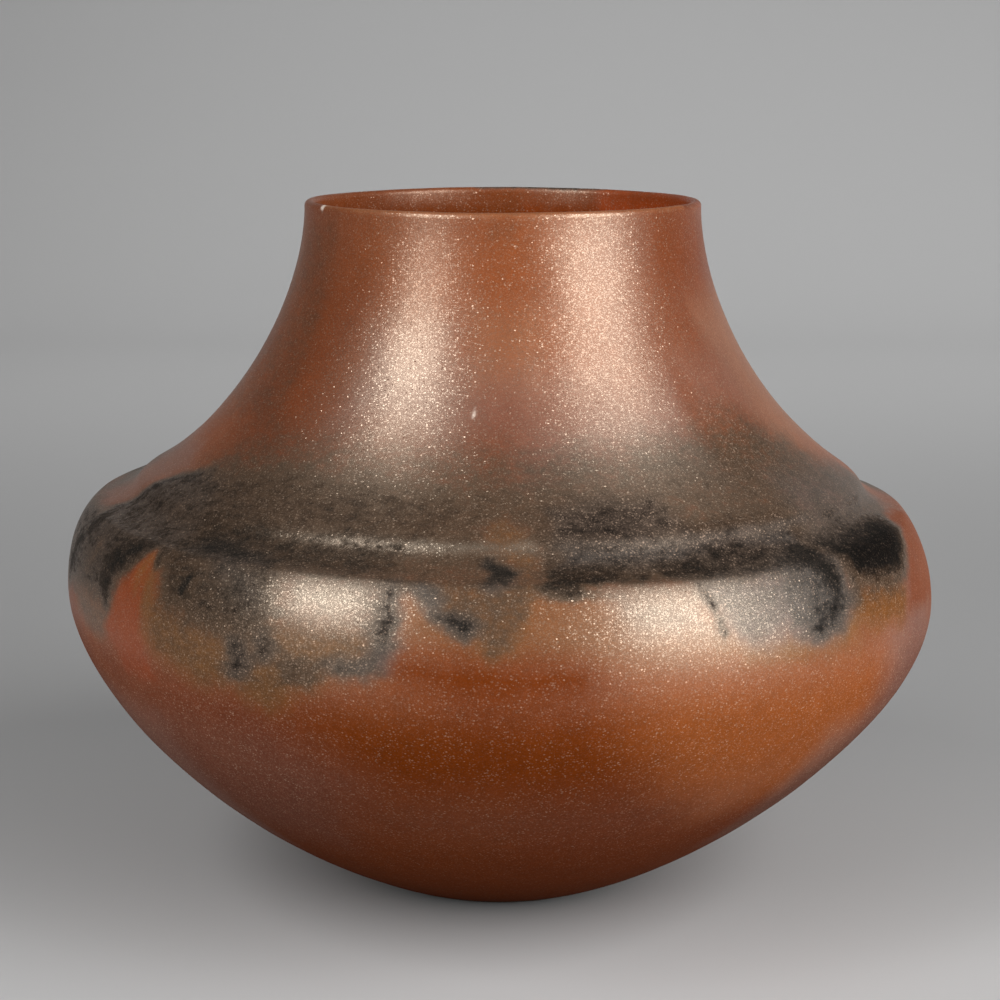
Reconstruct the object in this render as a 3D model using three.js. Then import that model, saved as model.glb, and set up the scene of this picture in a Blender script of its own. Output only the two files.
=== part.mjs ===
// A wide hand-built jar of mica-rich clay, put together as its potter raises it: a pressed base,
// coil courses lapped one over the next, a ridge coil along the shoulder and a thinned, rounded rim.
// Millimetres, +Z up, the origin at the middle of the face that the jar rests on.
import * as THREE from 'three';

// Outer form
const JAR_HEIGHT = 318;
const FOOT_RADIUS = 54;
const BELLY_RADIUS = 200;
const BELLY_HEIGHT = 141;
const MOUTH_RADIUS = 90.4;

// The shoulder steps in from the belly: a crisp edge, a hollowed ledge and a rounded ridge
const EDGE_SETBACK = 13.5;
const EDGE_RISE = 39;
const LEDGE_WIDTH = 19;
const LEDGE_RISE = 9.8;
const RIDGE_WIDTH = 7.5;
const RIDGE_RISE = 6.5;

// Wall
const FLOOR_THICKNESS = 9;
const WALL_THICKNESS = 6.5;
const RIDGE_THICKNESS = 8;
const LIP_THICKNESS = 4.6;

// Directions of the outer surface going up the wall, in degrees: 0 is outwards, 90 straight up
const FOOT_HEADING = 20.5;
const UPRIGHT = 90;
const EDGE_HEADING = 138;
const LEDGE_HEADING = 167;
const RIDGE_HEADING = 118;
const NECK_HEADING = 148;

// How far each direction carries into the curve next to it, first for the outside, then the inside
const FOOT_PULL = 78;
const BELLY_PULL_BELOW = 45;
const BELLY_PULL_ABOVE = 13;
const EDGE_PULL = 13;
const LEDGE_PULL = 9;
const RIDGE_PULL_BELOW = 5;
const RIDGE_PULL_ABOVE = 3;
const NECK_PULL_BELOW = 3.5;
const NECK_PULL_ABOVE = 54;
const MOUTH_PULL = 34;
const INNER_FOOT_PULL = 74;
const INNER_BELLY_PULL_BELOW = 42;
const INNER_BELLY_PULL_ABOVE = 22;
const INNER_RIDGE_PULL_BELOW = 24;
const INNER_RIDGE_PULL_ABOVE = 55;
const INNER_MOUTH_PULL = 34;

// Coil courses
const BASE_WALL = 30;
const LOWER_COILS = 7;
const SHOULDER_COILS = 2;
const NECK_COILS = 5;
const RIM_DEPTH = 20;
const COIL_LAP = 8;
const JOINT_GAP = 0.3;

// Hand-built lean: the belly stands higher on the left, and the mouth sits a little to the right
const BELLY_LEAN = 5;
const LEAN_HEIGHT = 160;
const LEAN_REACH_BELOW = 130;
const LEAN_REACH_ABOVE = 55;
const MOUTH_SHIFT = 1.4;

// Facets
const SEGMENTS = 56;
const PATH_STEP = 0.5;
const LONGEST_FACET = 30;
const SHARPEST_TURN = 12;
const LIP_FACETS = 6;

const toRadians = THREE.MathUtils.degToRad;

function pointAlong(start, heading, distance) {
  const angle = toRadians(heading);
  return new THREE.Vector2(
    start.x + distance * Math.cos(angle),
    start.y + distance * Math.sin(angle),
  );
}

// One sweep of the wall between two stations, leaving and arriving along their headings
function sweep(from, fromHeading, fromPull, to, toHeading, toPull) {
  return new THREE.CubicBezierCurve(
    from,
    pointAlong(from, fromHeading, fromPull),
    pointAlong(to, toHeading, -toPull),
    to,
  );
}

function joinSweeps(sweeps) {
  const path = new THREE.CurvePath();
  for (const curve of sweeps) path.add(curve);
  return path;
}

// Stations of the outer surface, as radius and height
const foot = new THREE.Vector2(FOOT_RADIUS, 0);
const belly = new THREE.Vector2(BELLY_RADIUS, BELLY_HEIGHT);
const edge = new THREE.Vector2(belly.x - EDGE_SETBACK, belly.y + EDGE_RISE);
const ridge = new THREE.Vector2(edge.x - LEDGE_WIDTH, edge.y + LEDGE_RISE);
const neckFoot = new THREE.Vector2(ridge.x - RIDGE_WIDTH, ridge.y + RIDGE_RISE);
const lipRadius = LIP_THICKNESS / 2;
const lipOutside = new THREE.Vector2(MOUTH_RADIUS, JAR_HEIGHT - lipRadius);

const outside = joinSweeps([
  sweep(foot, FOOT_HEADING, FOOT_PULL, belly, UPRIGHT, BELLY_PULL_BELOW),
  sweep(belly, UPRIGHT, BELLY_PULL_ABOVE, edge, EDGE_HEADING, EDGE_PULL),
  sweep(edge, LEDGE_HEADING, LEDGE_PULL, ridge, RIDGE_HEADING, RIDGE_PULL_BELOW),
  sweep(ridge, RIDGE_HEADING, RIDGE_PULL_ABOVE, neckFoot, NECK_HEADING, NECK_PULL_BELOW),
  sweep(neckFoot, NECK_HEADING, NECK_PULL_ABOVE, lipOutside, UPRIGHT, MOUTH_PULL),
]);

// The inside is scraped to one smooth line that passes under the ledge and the ridge
const floorEdge = new THREE.Vector2(FOOT_RADIUS, FLOOR_THICKNESS);
const innerBelly = new THREE.Vector2(belly.x - WALL_THICKNESS, belly.y);
const innerRidge = pointAlong(neckFoot, NECK_HEADING + UPRIGHT, RIDGE_THICKNESS);
const lipInside = new THREE.Vector2(MOUTH_RADIUS - LIP_THICKNESS, lipOutside.y);

const inside = joinSweeps([
  sweep(floorEdge, FOOT_HEADING, INNER_FOOT_PULL, innerBelly, UPRIGHT, INNER_BELLY_PULL_BELOW),
  sweep(innerBelly, UPRIGHT, INNER_BELLY_PULL_ABOVE, innerRidge, NECK_HEADING, INNER_RIDGE_PULL_BELOW),
  sweep(innerRidge, NECK_HEADING, INNER_RIDGE_PULL_ABOVE, lipInside, UPRIGHT, INNER_MOUTH_PULL),
]);

// Points of a path between two lengths along it, closer together where it turns
function facetPoints(path, from, to) {
  const whole = path.getLength();
  const steps = Math.max(2, Math.ceil((to - from) / PATH_STEP));
  const at = (step) => path.getPoint((from + ((to - from) * step) / steps) / whole);
  const effort = [0];
  for (let step = 1; step <= steps; step += 1) {
    const here = at(step).sub(at(step - 1));
    const next = at(Math.min(step + 1, steps)).sub(at(Math.min(step, steps - 1)));
    const turn = Math.abs(next.angle() - here.angle()) / toRadians(SHARPEST_TURN);
    effort.push(effort.at(-1) + turn + here.length() / LONGEST_FACET);
  }
  const facets = Math.ceil(effort.at(-1));
  const points = [];
  for (let facet = 0; facet <= facets; facet += 1) {
    const wanted = (effort.at(-1) * facet) / facets;
    points.push(at(effort.findIndex((done) => done >= wanted)));
  }
  return points;
}

// Length along the inside where a joint comes out, one lap lower than straight through the wall
function lappedLength(outerLength) {
  const outer = outside.getPoint(outerLength / outside.getLength());
  const whole = inside.getLength();
  let nearest = 0;
  let least = Infinity;
  for (let length = 0; length <= whole; length += PATH_STEP) {
    const gap = inside.getPoint(length / whole).distanceTo(outer);
    if (gap < least) {
      least = gap;
      nearest = length;
    }
  }
  return nearest - COIL_LAP;
}

// Courses from the base up, each with the length along the outside where it ends
const [bellyLength, edgeLength, , neckFootLength, lipLength] = outside.getCurveLengths();
const courses = [{ name: 'base_disc', end: BASE_WALL }];

function addCourses(name, count, end) {
  const start = courses.at(-1).end;
  for (let number = 1; number <= count; number += 1) {
    courses.push({ name: `${name}_${number}`, end: start + ((end - start) * number) / count });
  }
}

addCourses('lower_wall_coil', LOWER_COILS, bellyLength);
addCourses('shoulder_coil', SHOULDER_COILS, edgeLength);
courses.push({ name: 'ridge_coil', end: neckFootLength });
addCourses('neck_coil', NECK_COILS, lipLength - RIM_DEPTH);
courses.push({ name: 'rim_coil', end: lipLength });

function lipArc() {
  const centre = new THREE.Vector2(MOUTH_RADIUS - lipRadius, lipOutside.y);
  const arc = new THREE.EllipseCurve(centre.x, centre.y, lipRadius, lipRadius, 0, Math.PI);
  return arc.getPoints(LIP_FACETS).slice(1, -1);
}

// Cross-section of one course: up the outside, over its joint or lip, and down the inside
function courseSection(number) {
  const isBase = number === 0;
  const isRim = number === courses.length - 1;
  const start = isBase ? 0 : courses[number - 1].end;
  const innerStart = isBase ? 0 : lappedLength(start) + JOINT_GAP;
  const innerEnd = isRim ? inside.getLength() : lappedLength(courses[number].end);
  const outerPoints = facetPoints(outside, isBase ? 0 : start + JOINT_GAP, courses[number].end);
  const innerPoints = facetPoints(inside, innerStart, innerEnd).reverse();
  const wall = [...outerPoints, ...(isRim ? lipArc() : []), ...innerPoints];
  if (isBase) {
    return [new THREE.Vector2(0, 0), ...wall, new THREE.Vector2(0, FLOOR_THICKNESS)];
  }
  return [...wall, wall[0].clone()];
}

// Lean and shift of the hand-built wall, which fade out at the base and in the neck
function leanByHand(geometry) {
  const position = geometry.getAttribute('position');
  for (let index = 0; index < position.count; index += 1) {
    const x = position.getX(index);
    const z = position.getZ(index);
    const reach = z < LEAN_HEIGHT ? LEAN_REACH_BELOW : LEAN_REACH_ABOVE;
    const away = Math.min(1, Math.abs(z - LEAN_HEIGHT) / reach);
    const lean = (BELLY_LEAN / BELLY_RADIUS) * Math.cos((away * Math.PI) / 2) ** 2;
    const shift = MOUTH_SHIFT * THREE.MathUtils.smoothstep(z, neckFoot.y, JAR_HEIGHT);
    position.setX(index, x + shift);
    position.setZ(index, z - x * lean);
  }
}

// Bare clay burnished to a satin, and the same clay where smoke has darkened it
const clay = { color: 0xa4532f, roughness: 0.45, metalness: 0.15 };
const smokedClay = { color: 0x54463c, roughness: 0.4, metalness: 0.2 };

function isSmoked(name) {
  return name === 'ridge_coil' || name.startsWith('shoulder_coil');
}

function makeCourse(number) {
  const { name } = courses[number];
  const geometry = new THREE.LatheGeometry(courseSection(number), SEGMENTS);
  geometry.rotateX(Math.PI / 2);
  leanByHand(geometry);
  const finish = new THREE.MeshStandardMaterial(isSmoked(name) ? smokedClay : clay);
  const course = new THREE.Mesh(geometry, finish);
  course.name = name;
  return course;
}

const jar = new THREE.Group();
courses.forEach((course, number) => jar.add(makeCourse(number)));

export default jar;
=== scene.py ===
import math

import bpy
import numpy as np
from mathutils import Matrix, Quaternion, Vector, noise


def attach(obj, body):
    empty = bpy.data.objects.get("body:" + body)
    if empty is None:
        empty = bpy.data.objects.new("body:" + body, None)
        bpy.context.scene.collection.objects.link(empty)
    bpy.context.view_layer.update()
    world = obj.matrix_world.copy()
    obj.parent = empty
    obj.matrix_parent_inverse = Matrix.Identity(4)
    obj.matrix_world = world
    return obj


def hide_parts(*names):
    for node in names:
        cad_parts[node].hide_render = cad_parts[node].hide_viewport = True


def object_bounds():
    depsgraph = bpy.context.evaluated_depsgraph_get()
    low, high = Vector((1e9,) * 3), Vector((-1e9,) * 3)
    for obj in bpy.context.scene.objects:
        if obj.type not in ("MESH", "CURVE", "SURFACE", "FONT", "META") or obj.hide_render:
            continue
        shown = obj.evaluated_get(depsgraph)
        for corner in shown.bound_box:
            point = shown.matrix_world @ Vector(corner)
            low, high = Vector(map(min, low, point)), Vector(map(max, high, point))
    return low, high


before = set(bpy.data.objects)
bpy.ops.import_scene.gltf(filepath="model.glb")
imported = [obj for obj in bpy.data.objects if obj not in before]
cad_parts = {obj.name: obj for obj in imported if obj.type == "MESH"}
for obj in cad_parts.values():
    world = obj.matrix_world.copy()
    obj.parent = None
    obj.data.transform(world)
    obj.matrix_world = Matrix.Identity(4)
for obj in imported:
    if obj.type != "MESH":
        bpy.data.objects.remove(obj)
cadLow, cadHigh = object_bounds()
print("frame loaded with", len(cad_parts), "clay courses")

mm = 0.001  # the values of the jar below are in millimetres and degrees

# The wall is drawn once as a section, then every course takes its own stretch of it
jarForm = {
    "height": cadHigh.z / mm,
    "bellyRadius": (cadHigh.x - cadLow.x) / 2 / mm,
    "bellyHeight": 141,
    "footRadius": 54,
    "mouthRadius": 90.4,
    "edgeSetback": 13.5,
    "edgeRise": 39,
    "ledgeWidth": 19,
    "ledgeRise": 9.8,
    "ridgeWidth": 7.5,
    "ridgeRise": 6.5,
    "floorThickness": 9,
    "wallThickness": 6.5,
    "ridgeThickness": 8,
    "lipThickness": 4.6,
    "footHeading": 20.5,  # headings: 0 points outwards, 90 straight up
    "edgeHeading": 138,
    "ledgeHeading": 167,
    "ridgeHeading": 118,
    "neckHeading": 148,
    "footPull": 78,  # pulls: how far a heading carries into the curve next to it
    "bellyPullBelow": 45,
    "bellyPullAbove": 13,
    "edgePull": 13,
    "ledgePull": 9,
    "ridgePullBelow": 5,
    "ridgePullAbove": 3,
    "neckPullBelow": 3.5,
    "neckPullAbove": 54,
    "mouthPull": 34,
    "innerFootPull": 74,
    "innerBellyPullBelow": 42,
    "innerBellyPullAbove": 22,
    "innerRidgePullBelow": 24,
    "innerRidgePullAbove": 55,
    "edgeSoftening": 1.2,  # how far the burnishing stone rounds off the shoulder edge
    "curvePoints": 500,
}
upright = 90


def pointAlong(start, heading, distance):
    angle = math.radians(heading)
    return start + distance * np.array([math.cos(angle), math.sin(angle)])


def sweepCurve(start, startHeading, startPull, end, endHeading, endPull):
    t = np.linspace(0, 1, jarForm["curvePoints"])[:, None]
    left = 1 - t
    startHandle = pointAlong(start, startHeading, startPull)
    endHandle = pointAlong(end, endHeading, -endPull)
    return (left ** 3 * start + 3 * left ** 2 * t * startHandle
            + 3 * left * t ** 2 * endHandle + t ** 3 * end)


def joinCurves(curves):
    points = np.vstack([curves[0]] + [curve[1:] for curve in curves[1:]])
    steps = np.linalg.norm(np.diff(points, axis=0), axis=1)
    lengths = np.concatenate([[0], np.cumsum(steps)])
    ends = lengths[np.cumsum([len(curve) - 1 for curve in curves])]
    return {"points": points, "lengths": lengths, "ends": ends, "whole": lengths[-1]}


def placeOn(path, at):
    columns = [np.interp(at, path["lengths"], path["points"][:, axis]) for axis in (0, 1)]
    return np.column_stack(columns)


def burnishedPlaceOn(path, at):
    at = np.asarray(at, float)
    reach = np.minimum(jarForm["edgeSoftening"], np.minimum(at, path["whole"] - at))
    spread = [placeOn(path, at + reach * share) for share in (-1, -0.5, 0, 0.5, 1)]
    return np.mean(spread, axis=0)


foot = np.array([jarForm["footRadius"], 0.0])
belly = np.array([jarForm["bellyRadius"], jarForm["bellyHeight"]])
edge = belly + np.array([-jarForm["edgeSetback"], jarForm["edgeRise"]])
ridge = edge + np.array([-jarForm["ledgeWidth"], jarForm["ledgeRise"]])
neckFoot = ridge + np.array([-jarForm["ridgeWidth"], jarForm["ridgeRise"]])
lipRadius = jarForm["lipThickness"] / 2
lipOutside = np.array([jarForm["mouthRadius"], jarForm["height"] - lipRadius])
lipInside = lipOutside - np.array([jarForm["lipThickness"], 0])
floorEdge = np.array([jarForm["footRadius"], jarForm["floorThickness"]])
innerBelly = belly - np.array([jarForm["wallThickness"], 0])
innerRidge = pointAlong(neckFoot, jarForm["neckHeading"] + upright, jarForm["ridgeThickness"])

outside = joinCurves([
    sweepCurve(foot, jarForm["footHeading"], jarForm["footPull"], belly, upright, jarForm["bellyPullBelow"]),
    sweepCurve(belly, upright, jarForm["bellyPullAbove"], edge, jarForm["edgeHeading"], jarForm["edgePull"]),
    sweepCurve(edge, jarForm["ledgeHeading"], jarForm["ledgePull"],
               ridge, jarForm["ridgeHeading"], jarForm["ridgePullBelow"]),
    sweepCurve(ridge, jarForm["ridgeHeading"], jarForm["ridgePullAbove"],
               neckFoot, jarForm["neckHeading"], jarForm["neckPullBelow"]),
    sweepCurve(neckFoot, jarForm["neckHeading"], jarForm["neckPullAbove"],
               lipOutside, upright, jarForm["mouthPull"]),
])
inside = joinCurves([
    sweepCurve(floorEdge, jarForm["footHeading"], jarForm["innerFootPull"],
               innerBelly, upright, jarForm["innerBellyPullBelow"]),
    sweepCurve(innerBelly, upright, jarForm["innerBellyPullAbove"],
               innerRidge, jarForm["neckHeading"], jarForm["innerRidgePullBelow"]),
    sweepCurve(innerRidge, jarForm["neckHeading"], jarForm["innerRidgePullAbove"],
               lipInside, upright, jarForm["mouthPull"]),
])
bellyEnd, edgeEnd, _, neckFootEnd, lipEnd = outside["ends"]
print("wall drawn:", round(lipEnd), "mm from foot to lip, shoulder edge at", round(edgeEnd), "mm")

# How the potter stacks the courses, and how finely each one is modelled
coilCourses = {
    "baseWall": 30,
    "lowerCoils": 7,
    "shoulderCoils": 2,
    "neckCoils": 5,
    "rimDepth": 20,
    "lap": 8,
    "segments": 720,
    "rowStep": 2.2,
    "cloudRowStep": 1.2,  # where the fire clouds lie
    "ridgeRowStep": 0.8,
    "innerRowStep": 3.5,
    "holdingRow": 0.3,  # beside each joint, so that neighbouring courses shade alike
    "lipRows": 14,
    "floorRows": 10,
    "coilSwell": 0.35,  # what the scraping left of each coil on the inside
    "cloudBand": (-62, 75),
    "weld": 0.01,
    "smoothUpTo": 22,  # a sharper turn than this between two faces stays an edge
}


def courseEnds():
    ends = [("base_disc", coilCourses["baseWall"])]

    def stack(name, count, end):
        start = ends[-1][1]
        for number in range(1, count + 1):
            ends.append((f"{name}_{number}", start + (end - start) * number / count))

    stack("lower_wall_coil", coilCourses["lowerCoils"], bellyEnd)
    stack("shoulder_coil", coilCourses["shoulderCoils"], edgeEnd)
    ends.append(("ridge_coil", neckFootEnd))
    stack("neck_coil", coilCourses["neckCoils"], lipEnd - coilCourses["rimDepth"])
    ends.append(("rim_coil", lipEnd))
    return ends


def lappedPlace(outerAt):
    reach = np.linalg.norm(inside["points"] - placeOn(outside, [outerAt])[0], axis=1)
    return inside["lengths"][np.argmin(reach)] - coilCourses["lap"]


def rowsBetween(start, end, step):
    hold = coilCourses["holdingRow"]
    count = max(2, round((end - start) / step))
    middle = np.linspace(start, end, count + 1)[1:-1]
    return np.concatenate([[start, start + hold], middle, [end - hold, end]])


def outerRowStep(start, end):
    low, high = coilCourses["cloudBand"]
    if edgeEnd <= start < neckFootEnd:
        return coilCourses["ridgeRowStep"]
    clouded = end - edgeEnd > low and start - edgeEnd < high
    return coilCourses["cloudRowStep" if clouded else "rowStep"]


# Each row of a section is radius, height and place: mm up the wall from the shoulder edge, over the lip
# and down the inside
def outerRows(start, end):
    at = rowsBetween(start, end, outerRowStep(start, end))
    return np.column_stack([burnishedPlaceOn(outside, at), at - edgeEnd])


def innerRows(start, end):
    at = rowsBetween(start, end, coilCourses["innerRowStep"])[::-1]
    swell = coilCourses["coilSwell"] * np.sin(np.pi * (at - start) / (end - start)) ** 2
    radius, height = placeOn(inside, at).T
    overLip = lipEnd - edgeEnd + math.pi * lipRadius
    return np.column_stack([radius - swell, height, overLip + inside["whole"] - at])


def lipRows():
    angles = np.linspace(0, math.pi, coilCourses["lipRows"])[1:-1]
    radius = lipOutside[0] - lipRadius + lipRadius * np.cos(angles)
    height = lipOutside[1] + lipRadius * np.sin(angles)
    return np.column_stack([radius, height, lipEnd - edgeEnd + lipRadius * angles])


def floorRows(radiusFrom, radiusTo, height, place):
    radii = np.linspace(radiusFrom, radiusTo, coilCourses["floorRows"])
    return np.column_stack([radii, np.full_like(radii, height), np.full_like(radii, place)])


def courseSection(number, ends):
    isBase, isRim = number == 0, number == len(ends) - 1
    start = 0 if isBase else ends[number - 1][1]
    end = ends[number][1]
    innerStart = 0 if isBase else lappedPlace(start)
    innerEnd = inside["whole"] if isRim else lappedPlace(end)
    rows = [outerRows(start, end)] + ([lipRows()] if isRim else []) + [innerRows(innerStart, innerEnd)]
    if isBase:
        radius = jarForm["footRadius"]
        underside = floorRows(0, radius, 0, -edgeEnd)[:-1]
        innerFloor = floorRows(radius, 0, jarForm["floorThickness"], rows[-1][-1][2])[1:]
        rows = [underside] + rows + [innerFloor]
    return np.vstack(rows)


def turnCourse(name, section, closed):
    points = [Vector((0, -radius * mm, height * mm)) for radius, height, _ in section]
    bpy.ops.object.select_all(action="DESELECT")
    bpy.ops.mesh.primitive_plane_add(size=mm, location=(0, 0, 0))
    piece = bpy.context.object
    piece.name = name
    bpy.ops.object.mode_set(mode="EDIT")
    bpy.ops.mesh.select_all(action="SELECT")
    bpy.ops.mesh.merge(type="CENTER")
    bpy.ops.transform.translate(value=points[0])
    for here, there in zip(points, points[1:]):
        bpy.ops.mesh.extrude_vertices_move(TRANSFORM_OT_translate={"value": there - here})
    bpy.ops.object.mode_set(mode="OBJECT")
    if closed:  # the last joint face, from the inside back out to the first row
        piece.data.vertices[0].select = True
        bpy.ops.object.mode_set(mode="EDIT")
        bpy.ops.mesh.edge_face_add()
        bpy.ops.object.mode_set(mode="OBJECT")
    lathe = piece.modifiers.new("turnedRound", "SCREW")
    lathe.steps = lathe.render_steps = coilCourses["segments"]
    lathe.use_merge_vertices = True
    lathe.merge_threshold = coilCourses["weld"] * mm
    bpy.ops.object.modifier_apply(modifier=lathe.name)
    bpy.ops.object.mode_set(mode="EDIT")
    bpy.ops.mesh.select_all(action="SELECT")
    bpy.ops.mesh.remove_doubles(threshold=coilCourses["weld"] * mm)
    bpy.ops.mesh.normals_make_consistent(inside=False)
    bpy.ops.object.mode_set(mode="OBJECT")
    return piece


def vertexPlaces(piece):
    flat = np.empty(len(piece.data.vertices) * 3)
    piece.data.vertices.foreach_get("co", flat)
    return flat.reshape(-1, 3)


# The hand-built jar leans: the belly stands higher on the left and the mouth sits a little to the right
handLean = {
    "bellyLean": 5,
    "height": 160,
    "reachBelow": 130,
    "reachAbove": 55,
    "mouthShift": 1.4,
    "undulation": 1.0,
    "undulationSize": 75,
    "flatFoot": 25,
}


def leanCourse(piece):
    place = vertexPlaces(piece) / mm
    x, z = place[:, 0].copy(), place[:, 2].copy()
    reach = np.where(z < handLean["height"], handLean["reachBelow"], handLean["reachAbove"])
    away = np.minimum(1, np.abs(z - handLean["height"]) / reach)
    tilt = handLean["bellyLean"] / jarForm["bellyRadius"] * np.cos(away * math.pi / 2) ** 2
    rise = np.clip((z - neckFoot[1]) / (jarForm["height"] - neckFoot[1]), 0, 1)
    place[:, 0] = x + handLean["mouthShift"] * rise ** 2 * (3 - 2 * rise)
    place[:, 2] = z - x * tilt
    piece.data.vertices.foreach_set("co", (place * mm).ravel())
    piece.data.update()


def undulateCourse(piece, texture):
    heights = vertexPlaces(piece)[:, 2] / mm
    group = piece.vertex_groups.new(name="handMade")
    group.add(list(range(len(heights))), 1, "REPLACE")
    for vertex in np.flatnonzero(heights < handLean["flatFoot"]):
        group.add([int(vertex)], max(0, heights[vertex] / handLean["flatFoot"]), "REPLACE")
    wave = piece.modifiers.new("handUndulation", "DISPLACE")
    wave.texture = texture
    wave.texture_coords = "LOCAL"
    wave.direction = "RGB_TO_XYZ"
    wave.mid_level = 0.5
    wave.strength = handLean["undulation"] * mm
    wave.vertex_group = group.name
    bpy.ops.object.modifier_apply(modifier=wave.name)
    piece.vertex_groups.clear()


# Fire clouds, with painted light, shade and sheen: marks laid one over another on the unrolled wall. A place
# is degrees round from the front and mm up from the shoulder edge; a daub is a chain of discs, an area an
# outline, and fade is the softness in mm
neutralMarks = {"smoke": 0, "ochre": 0, "flash": 0, "paintedLight": 0, "emberAndBounceLight": 0, "ashAndSheen": 0, "bare": 0, "polish": 1}

neckMarks = [
    ("area", 22, [(-62, 60), (-62, 150), (-34, 150), (-36, 62)], {"flash": 0.35}),
    ("area", 16, [(-84, 72), (-98, 100), (-106, 136), (-90, 172), (-52, 176), (-50, 76)], {"smoke": 0.26}),
    ("area", 22, [(-42, 138), (-42, 190), (8, 190), (8, 138)], {"polish": 0.72}),
    ("area", 22, [(-44, 60), (-44, 124), (-4, 124), (-4, 60)], {"polish": 1.65}),
    ("area", 22, [(4, 60), (4, 100), (40, 100), (40, 60)], {"polish": 1.25, "ashAndSheen": 0.3}),
    # painted light: the right edge of the neck is lifted and greyed, as if lit from the right
    ("area", 14, [(65, 56), (61, 104), (56, 132), (80, 136), (99, 116), (105, 80), (92, 44)],
     {"paintedLight": 0.5, "ashAndSheen": 0.15, "polish": 1.7}),
    ("area", 14, [(46, 146), (46, 178), (106, 180), (116, 164), (90, 142)], {"flash": 0.4, "polish": 0.5}),
    ("area", 14, [(42, 56), (42, 100), (58, 100), (58, 56)], {"smoke": 0.14, "polish": 0.4}),
    # painted light: the middle of the neck is lifted between the two highlights
    ("area", 14, [(-6, 104), (-6, 136), (8, 136), (8, 104)], {"paintedLight": 0.4, "polish": 1.8}),
    # painted light: the right side of the neck is lifted and greyed
    ("area", 16, [(44, 82), (44, 112), (66, 112), (66, 82)], {"ashAndSheen": 0.2, "paintedLight": 0.2}),
    ("area", 28, [(-76, -24), (-74, 18), (-70, 34), (-64, 48), (-56, 62), (-46, 70), (-20, 72), (0, 71),
                  (20, 72), (40, 76), (56, 77), (68, 62), (80, 36), (88, 5), (88, -24)],
     {"smoke": 0.62}),
    ("area", 18, [(12, 36), (10, 62), (30, 69), (58, 64), (70, 52), (62, 40), (30, 36)], {"smoke": 0.57}),
    # painted sheen: the lower middle of the neck is greyed, as if by the haze of the highlights
    ("area", 20, [(-14, 80), (-14, 108), (14, 108), (14, 80)], {"ashAndSheen": 0.2}),
    ("area", 5, [(-50, -5), (-50, -70), (66, -70), (64, -20), (49, -5)], {"smoke": 0}),
    ("area", 11, [(-14, 0), (-12, -27), (12, -32), (48, -38), (52, -24), (24, 0)], {"ochre": 0.55}),
    ("area", 10, [(-200, 184), (-200, 262), (200, 262), (200, 184)], {"flash": 0.75, "polish": 0.08}),
    # painted bounce light: the inner wall at the right and back of the mouth is painted a brighter red
    ("area", 22, [(58, 196), (58, 262), (172, 262), (172, 196)], {"emberAndBounceLight": 0.45}),
    ("area", 16, [(76, 185), (74, 262), (150, 262), (146, 185)], {"emberAndBounceLight": 0.95}),
    # painted highlight: a light line along the front of the lip
    ("daub", 2, [(-62, 178, 1), (0, 178, 2), (62, 178, 1)], {"paintedLight": 0.8, "polish": 2}),
    # painted shade: the strip of the foot next to the floor is blackened where the contact shade falls
    ("area", 14, [(-200, -243), (-200, -400), (200, -400), (200, -243)], {"smoke": 0.9}),
    ("area", 14, [(-60, 8), (-58, 46), (-30, 50), (-8, 44), (-5, 27), (-30, 26), (-44, 10)],
     {"smoke": 0.7}),
    ("area", 8, [(-4, 30), (2, 42), (8, 40), (8, 27)], {"smoke": 0.64}),
    ("area", 10, [(7, 22), (8, 43), (16, 48), (24.5, 46), (27, 34), (28, 22)],
     {"smoke": 0.75, "ashAndSheen": 0.4, "polish": 0.15}),
    # smoke, with painted sheen greying it at the right edge
    ("area", 14, [(50, 14), (52, 48), (66, 46), (84, 34), (86, 12)], {"ashAndSheen": 0.5, "smoke": 0.55}),
    # painted highlight: the clay under the left highlight of the neck is greyed so that the highlight reads
    # whiter
    ("area", 20, [(-34, 84), (-31, 122), (-14, 122), (-12, 84)], {"ashAndSheen": 0.3}),
    ("daub", 9, [(-3, 170, 4), (2, 171, 4)], {"smoke": 0.22}),
    ("daub", 0.8, [(-5.5, 91, 1.2)], {"bare": 1}),
    ("daub", 0.8, [(-62.6, 177.4, 1.3), (-61.4, 176.6, 1.3)], {"bare": 1}),
]
leftShoulderMarks = [
    ("area", 6, [(-73, -2), (-71, 28), (-65, 40), (-60, 46), (-53, 43), (-48, 22), (-47, -2)],
     {"smoke": 0.75, "ashAndSheen": 0.2}),
    ("daub", 5, [(-73, 8, 2), (-70, 28, 3), (-66, 37, 3), (-61, 43, 3)], {"smoke": 0.84, "ashAndSheen": 0.5}),
    ("area", 7, [(-92, -6), (-77, 4), (-74, 24), (-70, 36), (-65, 46), (-72, 56), (-90, 54), (-102, 30)],
     {"smoke": 0.14, "ashAndSheen": 0.25}),
    ("area", 7, [(-50, 0), (-47, 26), (-36, 25), (-13, 25), (-13, 0)], {"smoke": 0.79}),
    ("area", 6, [(-45, 1), (-43, 14), (-36, 13), (-30, 6), (-30, 0)], {"smoke": 0.88, "ashAndSheen": 0.4}),
    ("area", 5, [(-13, 1), (-13, 18), (-4, 18), (-3, 1)], {"smoke": 0.56}),
    ("daub", 3.5, [(-46, 23, 1), (-32, 23, 2), (-14, 23, 1.5)], {"polish": 1.5}),
    ("daub", 3.5, [(-12, 23.3, 1.5), (4, 23.5, 2)], {"polish": 3.2}),
    ("daub", 6, [(0, 33, 7), (1, 27, 10), (3, 18, 7), (3.7, 8, 4), (3.5, -2, 3)],
     {"smoke": 0.4, "ochre": 0.85}),
    ("daub", 4, [(-1.5, 15, 2.5), (0.4, 10, 5), (0, 4, 5), (-1.2, 0, 3.5)], {"smoke": 0.92, "ashAndSheen": 0.5}),
]
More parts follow.
